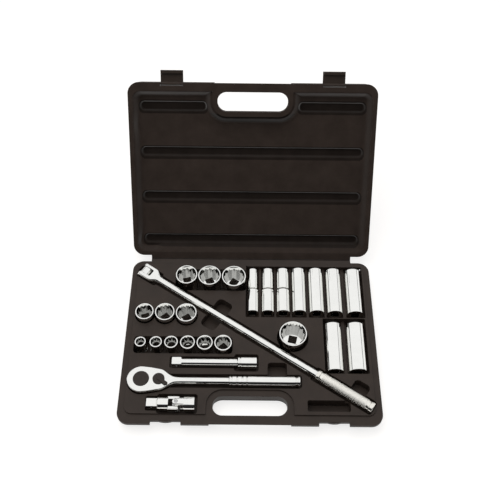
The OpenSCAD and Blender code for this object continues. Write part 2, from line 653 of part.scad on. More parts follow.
module flex_handle_head() color([0.85, 0.86, 0.88]) on_flex() difference() {
    union() {
        rotate([90, 0, 0]) translate([0, 0, -drive_sq/2]) cylinder(r = yoke_t/2 - 0.2, h = drive_sq);
        translate([-drive_sq/2, -drive_sq/2, -head_reach]) cube([drive_sq, drive_sq, head_reach]);
    }
    rotate([90, 0, 0]) translate([0, 0, -yoke_w]) cylinder(r = pin_r + run, h = 2*yoke_w);
    translate([0, 0, -head_reach + drive_len/2]) rotate([0, 90, 0]) ball_seat();
}

module flex_handle_pin() color([0.6, 0.6, 0.62]) on_flex() rotate([90, 0, 0]) translate([0, 0, -yoke_w/2])
    cylinder(r = pin_r, h = yoke_w);

module on_flex_ball() on_flex() translate([0, 0, -head_reach + drive_len/2]) rotate([0, 90, 0]) children();
module flex_handle_ball() color([0.75, 0.75, 0.76]) on_flex_ball() detent_ball();
module flex_handle_ball_spring() color([0.6, 0.6, 0.62]) on_flex_ball() ball_spring();

// ---------- extension ----------

module on_extension() on_tray(ext_x, ext_t, axis_z) children();
module extension_bar() color([0.85, 0.86, 0.88]) on_extension() difference() {
    union() {
        square_x(0, drive_len, drive_sq);
        cone_x(drive_len, drive_len + 1.5, drive_sq/2, shank_r);
        along_x(drive_len, ext_len - 20, shank_r);
        along_x(ext_len - 29, ext_len, ext_end_r);
    }
    ring_x(ext_len - 26, 1.5, ext_end_r + over, ext_end_r - 0.8);
    square_x(ext_len - drive_len - 1, ext_len + over, drive_hole);
    translate([drive_len/2, 0, 0]) rotate([90, 0, 0]) ball_seat();
}

module on_extension_ball() on_extension() translate([drive_len/2, 0, 0]) rotate([90, 0, 0]) children();
module extension_ball() color([0.75, 0.75, 0.76]) on_extension_ball() detent_ball();
module extension_ball_spring() color([0.6, 0.6, 0.62]) on_extension_ball() ball_spring();

// ---------- universal joint ----------

module on_ujoint() on_tray(ujoint_x, ujoint_t, axis_z) children();
block = 11;
ear_r = block/2 + 0.1;
ear_in = block/2 + 0.4;            // inner face of an ear
cross_r = 2.6;
ujoint_tip = -45.2;                // end of the male square

// two ears either side of the block, across Y, reaching from x0 to the joint's centre
module ears(x0) intersection() {
    union() for (m = [0, 1]) mirror([0, m, 0]) {
        translate([0, ear_in, 0]) rotate([-90, 0, 0]) cylinder(r = ear_r, h = ujoint_r);
        box(x0, 0, ear_in, ujoint_r, -ear_r, ear_r);
    }
    along_x(x0 - over, 2*ear_r, ujoint_r);
}

module cross_bore() rotate([90, 0, 0]) translate([0, 0, -2*ujoint_r]) cylinder(r = cross_r + run, h = 4*ujoint_r);

module ujoint_drive_yoke() color([0.85, 0.86, 0.88]) on_ujoint() difference() {
    union() {
        square_x(ujoint_tip, -29, drive_sq);
        cone_x(-30.4, -28, drive_sq/2, ujoint_r - 1.3);
        along_x(-28, -12, ujoint_r - 1.3);
        ears(-13);
    }
    cross_bore();
    translate([ujoint_tip + drive_len/2, 0, 0]) rotate([90, 0, 0]) ball_seat();
}

module ujoint_socket_yoke() color([0.85, 0.86, 0.88]) on_ujoint() mirror([1, 0, 0]) rotate([90, 0, 0]) difference() {
    union() {
        along_x(-27.5, -11, ujoint_r);
        ears(-12);
    }
    cross_bore();
    square_x(-27.5 - over, -12.5, drive_hole);
}

module ujoint_block() color([0.7, 0.7, 0.72]) on_ujoint() difference() {
    translate([-block/2, -block/2, -block/2]) cube(block);
    for (a = [0, 90]) rotate([a, 0, 0]) cross_bore();
}

module ujoint_pins() color([0.6, 0.6, 0.62]) on_ujoint() {
    rotate([90, 0, 0]) translate([0, 0, -ujoint_r + 0.6]) cylinder(r = cross_r, h = 2*ujoint_r - 1.2);
    for (m = [0, 1]) mirror([0, 0, m]) translate([0, 0, cross_r + 0.3]) cylinder(r = cross_r, h = ujoint_r - cross_r - 0.9);
}

module on_ujoint_ball() on_ujoint() translate([ujoint_tip + drive_len/2, 0, 0]) rotate([90, 0, 0]) children();
module ujoint_ball() color([0.75, 0.75, 0.76]) on_ujoint_ball() detent_ball();
module ujoint_ball_spring() color([0.6, 0.6, 0.62]) on_ujoint_ball() ball_spring();

// ---------- the nodes ----------

first_socket = 28;
first_deep = first_socket + len(sockets);

tray();
lid();
living_hinge();
latch_left();
latch_right();
ratchet_body();
ratchet_drive_gear();
ratchet_retaining_ring();
ratchet_reversing_lever();
ratchet_pawl();
ratchet_pawl_spring();
ratchet_ball();
ratchet_ball_spring();
flex_handle_bar();
flex_handle_grip();
flex_handle_head();
flex_handle_pin();
flex_handle_ball();
flex_handle_ball_spring();
extension_bar();
extension_ball();
extension_ball_spring();
ujoint_drive_yoke();
ujoint_socket_yoke();
ujoint_block();
ujoint_pins();
ujoint_ball();
ujoint_ball_spring();
for (i = [0:len(sockets) - 1]) upright_socket(i);
for (i = [0:len(deep_sockets) - 1]) deep_socket(i);
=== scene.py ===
# %% [markdown]
# # A socket wrench set in its case
# The set lies in a hinged case of blow-moulded plastic: two halves of doubled
# wall that open like a book. The solid model gives every piece its place and
# its joints. This lesson dresses it: it keeps the solids whose shape is right,
# and gives the chromed tools finer surfaces worked out with numpy.

# %% Load the solid model
import json
import math

import bmesh
import bpy
import numpy as np
from mathutils import Matrix, Vector


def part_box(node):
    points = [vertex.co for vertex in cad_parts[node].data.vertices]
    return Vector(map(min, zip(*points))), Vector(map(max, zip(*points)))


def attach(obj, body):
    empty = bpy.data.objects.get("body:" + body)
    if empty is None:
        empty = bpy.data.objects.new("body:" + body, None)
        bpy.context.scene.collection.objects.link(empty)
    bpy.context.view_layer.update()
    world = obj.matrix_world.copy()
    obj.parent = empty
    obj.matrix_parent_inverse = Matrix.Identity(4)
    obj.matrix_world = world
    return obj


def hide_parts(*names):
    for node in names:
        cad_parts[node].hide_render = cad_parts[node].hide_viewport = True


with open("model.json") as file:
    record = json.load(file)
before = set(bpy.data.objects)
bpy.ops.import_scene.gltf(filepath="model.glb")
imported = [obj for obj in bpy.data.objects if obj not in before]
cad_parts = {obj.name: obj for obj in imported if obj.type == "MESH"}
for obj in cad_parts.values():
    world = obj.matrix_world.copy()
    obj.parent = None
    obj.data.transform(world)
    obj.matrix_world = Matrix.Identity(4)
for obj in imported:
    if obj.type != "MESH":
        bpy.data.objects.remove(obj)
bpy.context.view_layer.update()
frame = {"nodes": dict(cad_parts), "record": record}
bodies = frame["record"]["behaviour"]["bodies"]
body_of = {node: body for body, nodes in bodies.items() for node in nodes}

# %% [markdown]
# ## The camera
# The camera looks down on the open case from the handle side, at a little more
# than 55 degrees. Its axes are written out from the three angles, so that the
# small roll of the view is kept.

# %% Camera
yaw, pitch, roll = (math.radians(angle) for angle in (0.214, 55.504, 0.744))
stand_point = (-0.00464, -0.5512, 1.07805)
forward = np.array([math.sin(yaw) * math.cos(pitch), math.cos(yaw) * math.cos(pitch), -math.sin(pitch)])
level = np.array([math.cos(yaw), -math.sin(yaw), 0.0])
above = np.cross(level, forward)
across = math.cos(roll) * level + math.sin(roll) * above
upward = -math.sin(roll) * level + math.cos(roll) * above
camera_axes = Matrix(np.column_stack([across, upward, -forward]).tolist()).to_4x4()

camera_data = bpy.data.cameras.new("studio_camera")
camera_data.lens, camera_data.sensor_width = 53.01, 36.0
camera = bpy.data.objects.new("studio_camera", camera_data)
camera.matrix_world = Matrix.Translation(stand_point) @ camera_axes
bpy.context.collection.objects.link(camera)
bpy.context.scene.camera = camera
bpy.context.scene.view_settings.view_transform = "Standard"
print("camera", [round(v, 3) for v in camera.location], "lens", camera_data.lens)

# %% [markdown]
# ## Making meshes from grids
# Most tools here are turned or squared shapes: one ring of points carried along
# a line, or round a closed profile. A grid of points makes such a skin, with
# numpy working out all the points at once. `skin` turns the grid into quads, and
# can join the last ring to the first, or close both ends with a fan.

# %% Grid to faces
def skin(grid, loop=False):
    """Points and faces of a grid of rings, shaped (rings, points, 3). Each point
    is joined to the next in its ring and to the same one in the next ring. With
    loop, the last ring joins the first; without it, each end closes to its middle."""
    grid = np.asarray(grid, float)
    n, m = grid.shape[:2]
    points = grid.reshape(-1, 3)
    i, j = np.meshgrid(np.arange(n if loop else n - 1), np.arange(m), indexing="ij")
    a, b = i * m + j, i * m + (j + 1) % m
    c, d = ((i + 1) % n) * m + (j + 1) % m, ((i + 1) % n) * m + j
    faces = np.stack([a, b, c, d], -1).reshape(-1, 4).tolist()
    if not loop:
        points = np.vstack([points, grid[0].mean(0), grid[-1].mean(0)])
        k = np.arange(m)
        first, last = n * m, n * m + 1
        faces += np.stack([np.full(m, first), (k + 1) % m, k], -1).tolist()
        faces += np.stack([np.full(m, last), (n - 1) * m + k, (n - 1) * m + (k + 1) % m], -1).tolist()
    return points, faces


def volume(points, faces):
    """Signed volume: the sum of the tetrahedra from the origin to every face."""
    points = np.asarray(points)
    tri = np.array([[f[0], f[k], f[k + 1]] for f in faces for k in range(1, len(f) - 1)])
    a, b, c = points[tri[:, 0]], points[tri[:, 1]], points[tri[:, 2]]
    return float(np.einsum("ij,ij->i", a, np.cross(b, c)).sum() / 6)


def facing_out(points, faces):
    """The faces of a closed shape, all turned round if they enclose less than nothing."""
    return [f[::-1] for f in faces] if volume(points, faces) < 0 else faces


print("skin of a four-sided rod:", len(skin(np.zeros((2, 4, 3)))[1]), "faces")

# %% [markdown]
# ### A piece that rides on a body
# Every new piece is a mesh whose place is in its points. It rides on the body
# that carries it, and it may stand for a solid, which is then hidden. Edges
# sharper than the given angle stay sharp, and the rest is shaded smooth.

# %% Piece from points and faces
def make(name, points, faces, finish, body, stands_for=(), slot=None, sharp=40, closed=True):
    """A mesh object from points in metres, its faces turned outwards, riding on a body."""
    mesh = bpy.data.meshes.new(name)
    mesh.from_pydata(np.asarray(points).tolist(), [], facing_out(points, faces) if closed else faces)
    mesh.update()
    mesh.shade_smooth()
    mesh.set_sharp_from_angle(angle=math.radians(sharp))
    piece = bpy.data.objects.new(name, mesh)
    bpy.context.collection.objects.link(piece)
    mesh.materials.append(finish)
    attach(piece, body)
    if stands_for:
        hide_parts(*stands_for)
    return piece


def box_mm(node):
    """The low and the high corner of a solid's box, in millimetres."""
    return [1000 * np.array(corner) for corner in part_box(node)]


print("the tray is", [round(side) for side in box_mm("tray")[1] - box_mm("tray")[0]], "mm")

# %% [markdown]
# ### Profiles and places
# A profile is drawn with sharp corners first, each with the radius that a maker
# would write beside it. Turning it about its own axis gives a ring for each of
# its points. The shape is worked out in millimetres where it is easy to think
# about, and `placed` then carries it to where it belongs.

# %% Rounded profiles, turned shapes and their place
def rounded(corners, steps=4):
    """A profile with its corners rounded: corners is a list of (a, b, radius).
    Each corner becomes a parabola that touches both of its sides, with a support
    point on each side so that flat stretches shade flat."""
    pts = np.array([c[:2] for c in corners], float)
    out = [pts[0]]
    for k in range(1, len(pts) - 1):
        r = corners[k][2]
        to_last, to_next = pts[k - 1] - pts[k], pts[k + 1] - pts[k]
        l0, l1 = np.linalg.norm(to_last), np.linalg.norm(to_next)
        to_last, to_next = to_last / l0, to_next / l1
        half = math.acos(np.clip(to_last @ to_next, -1, 1)) / 2
        if r <= 0 or half > math.radians(88):
            out.append(pts[k])
            continue
        reach = min(r / math.tan(half), 0.45 * l0, 0.45 * l1)
        s, e = pts[k] + to_last * reach, pts[k] + to_next * reach
        t = np.linspace(0, 1, steps + 1)[:, None]
        arc = (1 - t) ** 2 * s + 2 * t * (1 - t) * pts[k] + t ** 2 * e
        out += [pts[k] + to_last * reach * 1.15, *arc, pts[k] + to_next * reach * 1.15]
    out.append(pts[-1])
    return np.array(out)


def turned(profile, m=64):
    """A turned shape about its own X axis: profile is a list of (x, radius)."""
    profile = np.asarray(profile, float)
    a = np.linspace(0, 2 * np.pi, m, endpoint=False)
    x, r = profile[:, 0][:, None], profile[:, 1][:, None]
    return np.stack([x + 0 * a, r * np.cos(a), r * np.sin(a)], -1)


def placed(grid, origin, x_axis=(1, 0, 0), z_axis=(0, 0, 1)):
    """A grid in millimetres with its X and Z laid along two directions, moved to
    its origin and given in metres."""
    x = np.array(x_axis, float) / np.linalg.norm(x_axis)
    z = np.array(z_axis, float) / np.linalg.norm(z_axis)
    y = np.cross(z, x)
    return (np.asarray(origin) + np.asarray(grid) @ np.array([x, y, z])) / 1000.0


print("a corner of radius 1:", len(rounded([(0, 0, 0), (5, 0, 1), (5, 5, 0)])), "points")

# %% [markdown]
# ## The finishes
# The case is dark brown-grey moulded plastic with a fine grain and faint flow
# marks. The tools are chrome plate over polished steel: a bright metal whose
# gloss wanders a little, with hair-fine handling scratches. The knurled grip is
# the same plate, but its diamonds scatter light. Inside the broached holes the
# chrome is darker, partly duller plate and partly painted shade, and darkest in
# the narrow holes. The ratchet's discs are black oxide, and pins and balls are
# plain ground steel.

# %% Node helpers
def adder(tree):
    """A function that adds a node to a tree, and sets or links its inputs."""
    def add(kind, inputs=None, **settings):
        node = tree.nodes.new(kind)
        for key, value in settings.items():
            setattr(node, key, value)
        for key, value in (inputs or {}).items():
            if isinstance(value, bpy.types.NodeSocket):
                tree.links.new(value, node.inputs[key])
            else:
                node.inputs[key].default_value = value
        return node

    return add


def new_finish(name):
    """A material with nodes, its shader, and a way to add nodes to it."""
    finish = bpy.data.materials.new(name)
    finish.use_nodes = True
    tree = finish.node_tree
    return finish, tree, tree.nodes["Principled BSDF"], adder(tree)


def ramp(add, source, stops):
    """A colour ramp over source, with stops given as (place, grey or colour)."""
    node = add("ShaderNodeValToRGB", {"Fac": source})
    band = node.color_ramp
    while len(band.elements) < len(stops):
        band.elements.new(0.5)
    for element, (place, value) in zip(band.elements, stops):
        element.position = place
        element.color = (*value, 1) if isinstance(value, tuple) else (value, value, value, 1)
    return node.outputs["Color"]


print("node helpers ready")

# %% [markdown]
# ### Moulded plastic
# Blown plastic takes the fine grain of its mould, and the melt leaves broad
# marks where it flowed. Two noises and a cell pattern draw both. A bevel node
# rounds the look of every edge, because the case's own edges are too many and
# too tightly set for a bevel of the mesh.

# %% Moulded plastic
def moulded_plastic(name, colour, warm, shine):
    """Moulded plastic: a base colour with broad flow marks, fine grain in the
    bump, and a gloss that changes slowly over the sheet."""
    finish, tree, shader, add = new_finish(name)
    place = add("ShaderNodeTexCoord").outputs["Object"]
    flow = add("ShaderNodeTexNoise", {"Vector": place, "Scale": 38.0, "Detail": 4.0, "Roughness": 0.62})
    colours = ramp(add, flow.outputs["Fac"], [(0.3, colour), (0.72, warm)])
    tree.links.new(colours, shader.inputs["Base Color"])
    gloss = add("ShaderNodeTexNoise", {"Vector": place, "Scale": 14.0, "Detail": 2.0})
    roughness = ramp(add, gloss.outputs["Fac"], [(0.25, 0.43), (0.75, 0.53)])
    tree.links.new(roughness, shader.inputs["Roughness"])
    grain = add("ShaderNodeTexNoise", {"Vector": place, "Scale": 1500.0, "Detail": 3.0, "Roughness": 0.7})
    pits = add("ShaderNodeTexVoronoi", {"Vector": place, "Scale": 900.0})
    height = add("ShaderNodeMix", {"Factor": 0.35, "A": grain.outputs["Fac"], "B": pits.outputs["Distance"]})
    edge = add("ShaderNodeBevel", {"Radius": 0.0006}, samples=4)
    bump = add("ShaderNodeBump", {"Strength": 0.16, "Distance": 0.0004, "Height": height.outputs["Result"],
                                  "Normal": edge.outputs["Normal"]})
    tree.links.new(bump.outputs["Normal"], shader.inputs["Normal"])
    shader.inputs["Specular IOR Level"].default_value = shine
    return finish


case_plastic = moulded_plastic("moulded_case_plastic",
                               (0.0215, 0.0150, 0.0115), (0.0305, 0.0213, 0.0163), shine=0.3)
# The lid's copy of the plastic is lighter and has almost no sheen: painted light, set for how the open lid is
# lit.
lid_relit_plastic = moulded_plastic("moulded_lid_plastic",
                              (0.0262, 0.0192, 0.0158), (0.0352, 0.0260, 0.0216), shine=0.04)
# The hinge rod's plastic is darker than the case: painted shade in the fold between the halves.
fold_shade_plastic = moulded_plastic("flexed_hinge_plastic",
                                (0.012, 0.009, 0.008), (0.018, 0.0135, 0.0115), shine=0.12)
# The trough plastic is darker still: painted shade in the lid's grooves and at the foot of its boss.
trough_plastic = moulded_plastic("trough_plastic",
                                 (0.0115, 0.0086, 0.0070), (0.0170, 0.0127, 0.0106), shine=0.05)
print("plastics:", len(bpy.data.materials))

# %% [markdown]
# ### Chrome plate
# Chrome is a metal that is nearly white. What makes it look real is not its
# colour but its gloss: it wanders with the polishing, and hair scratches break
# up the reflections. The scratches are a noise stretched far along one way.

# %% Chrome plate
def chrome_plate(name, colour, rough_low, rough_high, scratch):
    """Chrome over steel: a near-white metal; slow noise moves its gloss, and a
    stretched fine noise lays hair scratches into the bump."""
    finish, tree, shader, add = new_finish(name)
    shader.inputs["Metallic"].default_value = 1.0
    place = add("ShaderNodeTexCoord").outputs["Object"]
    cloud = add("ShaderNodeTexNoise", {"Vector": place, "Scale": 55.0, "Detail": 3.0, "Roughness": 0.6})
    dimmed = tuple(0.95 * c for c in colour)
    colours = ramp(add, cloud.outputs["Fac"], [(0.3, colour), (0.75, dimmed)])
    tree.links.new(colours, shader.inputs["Base Color"])
    roughness = ramp(add, cloud.outputs["Fac"], [(0.35, rough_low), (0.7, rough_high)])
    tree.links.new(roughness, shader.inputs["Roughness"])
    stretch = add("ShaderNodeMapping", {"Vector": place, "Scale": (220.0, 2600.0, 2600.0),
                                        "Rotation": (0.0, 0.0, 0.4)})
    hair = add("ShaderNodeTexNoise", {"Vector": stretch.outputs["Vector"], "Scale": 1.0, "Detail": 2.0})
    bump = add("ShaderNodeBump", {"Strength": scratch, "Distance": 0.00006, "Height": hair.outputs["Fac"]})
    tree.links.new(bump.outputs["Normal"], shader.inputs["Normal"])
    return finish


chrome = chrome_plate("polished_chrome_plate", (0.91, 0.91, 0.885), 0.045, 0.10, 0.10)
# The broach chromes are darker than the outside: partly duller plate, partly painted shade; the narrow one,
# darker still, is painted shade of the narrower hole.
broach_dull_shaded_chrome = chrome_plate("broached_chrome", (0.43, 0.43, 0.42), 0.09, 0.17, 0.25)
narrow_broach_shaded_chrome = chrome_plate("narrow_broached_chrome", (0.26, 0.26, 0.25), 0.09, 0.17, 0.25)
knurled_chrome = chrome_plate("knurled_chrome_plate", (0.90, 0.88, 0.82), 0.16, 0.24, 0.2)
pin_steel = chrome_plate("ground_pin_steel", (0.50, 0.50, 0.50), 0.2, 0.3, 0.3)
print("with the metals:", len(bpy.data.materials))

# %% [markdown]
# ### Black oxide
# Oxide is a thin dark skin grown on the steel, so the shader is only partly a
# metal. It is a little warm, and thumbs polish it unevenly.

# %% Black oxide
def black_oxide_finish(name):
    """Black oxide on steel: nearly black, half metal, with a faint warm cloud and
    a gloss that shows where thumbs have rubbed it."""
    finish, tree, shader, add = new_finish(name)
    shader.inputs["Metallic"].default_value = 0.35
    place = add("ShaderNodeTexCoord").outputs["Object"]
    cloud = add("ShaderNodeTexNoise", {"Vector": place, "Scale": 160.0, "Detail": 5.0, "Roughness": 0.65})
    colours = ramp(add, cloud.outputs["Fac"], [(0.3, (0.026, 0.021, 0.018)), (0.75, (0.040, 0.032, 0.028))])
    tree.links.new(colours, shader.inputs["Base Color"])
    tree.links.new(ramp(add, cloud.outputs["Fac"], [(0.3, 0.34), (0.7, 0.5)]), shader.inputs["Roughness"])
    bump = add("ShaderNodeBump", {"Strength": 0.12, "Distance": 0.0002, "Height": cloud.outputs["Fac"]})
    tree.links.new(bump.outputs["Normal"], shader.inputs["Normal"])
    shader.inputs["Specular IOR Level"].default_value = 0.3
    return finish


# This dark finish is also used to paint the shade at the bottom of the deep sockets' grooves.
black_oxide = black_oxide_finish("black_oxide_steel")
print("finishes:", [m.name for m in bpy.data.materials])

# %% [markdown]
# ## Light
# The world is a soft white dome behind and over the set and dark on the near
# side, as in a light tent with its front open: the chrome shows white bands
# with dark edges, and the dark plastic keeps its depth. Two dark seams between
# the tent's panels draw thin lines along the round bars. Diffuse rays get an
# even grey instead, so that the plastic is lit the same from every side, and
# the camera sees plain white.

# %% The tent
world = bpy.data.worlds.new("light_tent")
bpy.context.scene.world = world
world.use_nodes = True
background = world.node_tree.nodes["Background"]
add = adder(world.node_tree)


def soft_step(source, start, stop, low, high):
    """Rises smoothly from low to high while source goes from start to stop."""
    levels = {"Value": source, "From Min": start, "From Max": stop, "To Min": low, "To Max": high}
    return add("ShaderNodeMapRange", levels, interpolation_type="SMOOTHSTEP").outputs["Result"]


def along_way(way):
    """The cosine of the angle between a ray and a fixed direction."""
    return add("ShaderNodeVectorMath", {0: direction, 1: way}, operation="DOT_PRODUCT").outputs["Value"]


direction = add("ShaderNodeTexCoord").outputs["Generated"]
tent = soft_step(along_way((0.0, 0.839, 0.545)), -0.07, 0.07, 0.02, 0.97)
seams = [((0.423, 0.0, -0.906), 0.035, 0.07), ((-0.17, 0.0, -0.985), 0.10, 0.15)]
for seam_way, core, rim in seams:
    off_seam = add("ShaderNodeMath", {0: along_way(seam_way)}, operation="ABSOLUTE").outputs[0]
    panel = soft_step(off_seam, core, rim, 0.12, 1.0)
    tent = add("ShaderNodeMath", {0: tent, 1: panel}, operation="MULTIPLY").outputs[0]
rays = add("ShaderNodeLightPath")
even = add("ShaderNodeMix", {"Factor": rays.outputs["Is Diffuse Ray"], "A": tent, "B": 0.46})
seen = add("ShaderNodeMix", {"Factor": rays.outputs["Is Camera Ray"], "A": even.outputs["Result"], "B": 1.0})
world.node_tree.links.new(seen.outputs["Result"], background.inputs["Strength"])
background.inputs["Color"].default_value = (1.0, 1.0, 1.0, 1.0)
print("the tent has", len(seams), "seams")

# %% [markdown]
# ### Floor and lamp
# The floor is a plain white sheet. It glows to the camera and in reflections,
# so that it looks white without more light on the set, and its own grey paint
# takes the soft shadow of the one wide lamp overhead.

# %% Floor
floor_paint, floor_tree, floor_shader, add = new_finish("white_floor")
floor_shader.inputs["Base Color"].default_value = (0.42, 0.40, 0.38, 1)
floor_shader.inputs["Roughness"].default_value = 0.9
floor_shader.inputs["Specular IOR Level"].default_value = 0.0
floor_shader.inputs["Emission Color"].default_value = (1, 1, 1, 1)
rays = add("ShaderNodeLightPath").outputs
glows = add("ShaderNodeMath", {0: rays["Is Camera Ray"], 1: rays["Is Glossy Ray"]}, operation="MAXIMUM")
glow = add("ShaderNodeMath", {0: glows.outputs[0], 1: 0.74}, operation="MULTIPLY")
floor_tree.links.new(glow.outputs[0], floor_shader.inputs["Emission Strength"])

floor_mesh = bpy.data.meshes.new("studio_floor")
floor_mesh.from_pydata([(-4, -3, 0), (4, -3, 0), (4, 6, 0), (-4, 6, 0)], [], [(0, 1, 2, 3)])
floor_mesh.materials.append(floor_paint)
studio_floor = bpy.data.objects.new("studio_floor", floor_mesh)
bpy.context.collection.objects.link(studio_floor)
print("floor", [round(side) for side in studio_floor.dimensions], "m")

# %% Lamp
lamp_data = bpy.data.lights.new("overhead_softbox", "AREA")
lamp_data.shape, lamp_data.energy = "RECTANGLE", 11.0
lamp_data.size, lamp_data.size_y = 1.3, 1.0
lamp = bpy.data.objects.new("overhead_softbox", lamp_data)
lamp.location = (-0.2, 0.1, 1.4)
lamp_target = Vector((0, 0, 0.02))
lamp.rotation_euler = (lamp_target - lamp.location).to_track_quat("-Z", "Y").to_euler()
lamp.visible_glossy = False
bpy.context.collection.objects.link(lamp)
print("lamp of", lamp_data.energy, "W")

# %% [markdown]
# ## Dressing a solid
# Where a solid's own shape is right, a copy of it is shown. The solid's mesh has
# loose faces and knife edges, so the copy gets its points joined, and the metal
# pieces and the latches get a narrow bevel along every edge. Only the outermost
# shell is kept: nobody sees the sealed space inside the doubled walls. Faces
# that belong to a rounded edge are shaded smooth, and flat ones stay flat, so
# that long thin triangles leave no smears.

# %% Cleaning a copy
def shells_of(work):
    """The separate shells of a mesh, each a list of its points: a walk from
    point to point along the edges, begun again while any point is left."""
    shells, reached = [], set()
    for start in work.verts:
        if start in reached:
            continue
        shell, queue = [], [start]
        reached.add(start)
        while queue:
            point = queue.pop()
            shell.append(point)
            for edge in point.link_edges:
                other = edge.other_vert(point)
                if other not in reached:
                    reached.add(other)
                    queue.append(other)
        shells.append(shell)
    return shells


def drop_inner_shells(work):
    """Deletes each shell whose box lies wholly within another shell's box."""
    shells = shells_of(work)
    spans = [[(min(p.co[k] for p in s), max(p.co[k] for p in s)) for k in range(3)] for s in shells]
    for shell, span in zip(shells, spans):
        if any(all(o[k][0] < span[k][0] and span[k][1] < o[k][1] for k in range(3)) for o in spans):
            bmesh.ops.delete(work, geom=shell, context="VERTS")


def shade_by_angle(work, limit, up):
    """Smooth faces where a face turns a little into a neighbour and isn't square
    to up; smooth edges where the two faces turn by less than limit."""
    work.normal_update()
    for face in work.faces:
        turns = [edge.calc_face_angle(0.0) for edge in face.edges]
        face.smooth = abs(face.normal.dot(up)) < 0.9999 and any(0.01 < t < limit for t in turns)
    for edge in work.edges:
        edge.smooth = edge.calc_face_angle(3.0) < limit


print("cleaning helpers ready")

# %% [markdown]
# ### The dressed copy
# The copy rides on the solid's own body and stands for the solid. The bevel is a
# modifier of two segments that works on the sharp edges alone.

# %% Copy of a solid
def dress(node, finish, width=0.0003, sharp=35, up=(0, 0, 1)):
    """A cleaned copy of a solid that rides on the solid's body and stands for
    it, its sharp edges bevelled by width metres."""
    source, limit = frame["nodes"][node], math.radians(sharp)
    work = bmesh.new()
    work.from_mesh(source.data)
    work.transform(source.matrix_world)
    bmesh.ops.remove_doubles(work, verts=work.verts, dist=2e-6)
    drop_inner_shells(work)
    bmesh.ops.dissolve_degenerate(work, dist=5e-6, edges=work.edges)
    shade_by_angle(work, limit, Vector(up).normalized())
    mesh = bpy.data.meshes.new(node + "_dressed")
    work.to_mesh(mesh)
    work.free()
    mesh.materials.clear()
    mesh.materials.append(finish)
    piece = bpy.data.objects.new(node + "_dressed", mesh)
    bpy.context.collection.objects.link(piece)
    if width:
        edges = piece.modifiers.new("rounded_edges", "BEVEL")
        edges.width, edges.segments, edges.limit_method = width, 2, "ANGLE"
        edges.angle_limit, edges.use_clamp_overlap = limit, False
    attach(piece, body_of[node])
    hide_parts(node)
    return piece


print("dressing", len(frame["nodes"]), "solids at most")

# %% [markdown]
# ### Case and latches
# The case's two halves and its latches keep the shape of their solids. The lid
# leans back by its opening angle, so its level faces are square to a direction
# that leans with it. It is left out of reflections: a real lid is grained and
# gives the chrome no clear picture of itself. The living hinge is the one spot
# where a slightly thicker rod is drawn, so that no light shows beside the fold.

# %% Case
fold_y, fold_z = 151, 28  # the line that tray and lid turn about, in mm
opening = math.radians(126.7)

dress("tray", case_plastic, 0)
# The lid's lighter copy of the plastic is painted light.
lid_shell = dress("lid", lid_relit_plastic, 0, up=(0, -math.sin(opening), -math.cos(opening)))
lid_shell.visible_glossy = False
for node in ("latch_left", "latch_right"):
    dress(node, case_plastic, 0.0003)

rod_half, rod_radius, rod_tip = 170, 0.71, 0.4
rod = turned([(-rod_half, rod_tip), (0.2 - rod_half, rod_radius),
              (rod_half - 0.2, rod_radius), (rod_half, rod_tip)], 24)
# The rod's darker plastic paints the shade in the fold.
make("hinge_fold", *skin(placed(rod, (0, fold_y, fold_z))), fold_shade_plastic, body_of["living_hinge"],
     ["living_hinge"], "case_plastic")

# %% [markdown]
# ### Small metal pieces
# The gear, the swivelling square, the yokes of the universal joint, the pins,
# the balls and the springs are right as they are too. Their bevels are as
# narrow as those that a tumbler leaves on forged or turned steel.

# %% Small metal pieces
small_pieces = {"ratchet_drive_gear": (black_oxide, "black_oxide", 0.00025)}
for node in ("flex_handle_head", "ujoint_drive_yoke", "ujoint_socket_yoke"):
    small_pieces[node] = (chrome, "chrome", 0.0004)
for node in ("ujoint_block", "ujoint_pins", "flex_handle_pin", "ratchet_retaining_ring", "ratchet_pawl"):
    small_pieces[node] = (pin_steel, "steel", 0.0002)
for node in sorted(frame["nodes"]):
    if node.endswith(("ball", "spring")):
        small_pieces[node] = (pin_steel, "steel", 0)
for node, (finish, slot, width) in small_pieces.items():
    dress(node, finish, width)

# %% [markdown]
# ## Inside of the lid
# The blow-moulded lid has soft forms: its rim rolls over into the hollow, and
# the stiffening grooves are shallow troughs. A height field draws them. Each
# point is known by x and by s, its distance from the hinge edge, and its depth
# depends on how far it lies inside the hollow's outline and each groove's.

# %% Outlines and steps
def inside(x, s, x0, x1, s0, s1, corner):
    """How far a point lies inside a rounded rectangle, in mm: the corner radius
    less the distance to the rectangle drawn in by it; negative outside."""
    qx = np.abs(x - (x0 + x1) / 2) - (x1 - x0) / 2 + corner
    qs = np.abs(s - (s0 + s1) / 2) - (s1 - s0) / 2 + corner
    return corner - np.hypot(np.maximum(qx, 0), np.maximum(qs, 0)) - np.minimum(np.maximum(qx, qs), 0)


def eased(t):
    """The cubic 3t^2 - 2t^3 between 0 and 1, flat beyond."""
    t = np.clip(t, 0, 1)
    return t * t * (3 - 2 * t)


print("half way:", eased(0.5))

# %% [markdown]
# ### Grid of the hollow
# The grid is fine where the surface turns, along the walls, the grooves and the
# boss round the hand hole, and wide on the flat panels between them.

# %% Grid of the hollow
hollow_half, hinge_side, handle_side = 193, 6.5, 277
from_wall = np.unique(np.r_[np.arange(0, 12, 0.55), np.arange(12, 28, 0.8), np.arange(28, 60, 1.6),
                            np.linspace(60, hollow_half, 60), np.arange(108, 149, 0.9)])
field_x = np.unique(np.round(np.r_[hollow_half - from_wall, from_wall - hollow_half], 3))
bands = [(hinge_side, 18, 0.55), (18, 34, 0.7), (34, 91, 1.9), (91, 110, 0.7), (110, 167, 1.9),
         (167, 186, 0.7), (186, 226, 1.4), (226, handle_side, 0.6)]
field_s = np.concatenate([np.arange(*band) for band in bands] + [[handle_side]])
field_s = np.unique(np.round(field_s, 3))
gx, gs = np.meshgrid(field_x, field_s)
walls_off = inside(gx, gs, -hollow_half, hollow_half, hinge_side, handle_side, 14)
boss_off = -inside(gx, gs, -64.75, 64.75, 237, 320, 23)
print("grid of the hollow:", gx.shape)
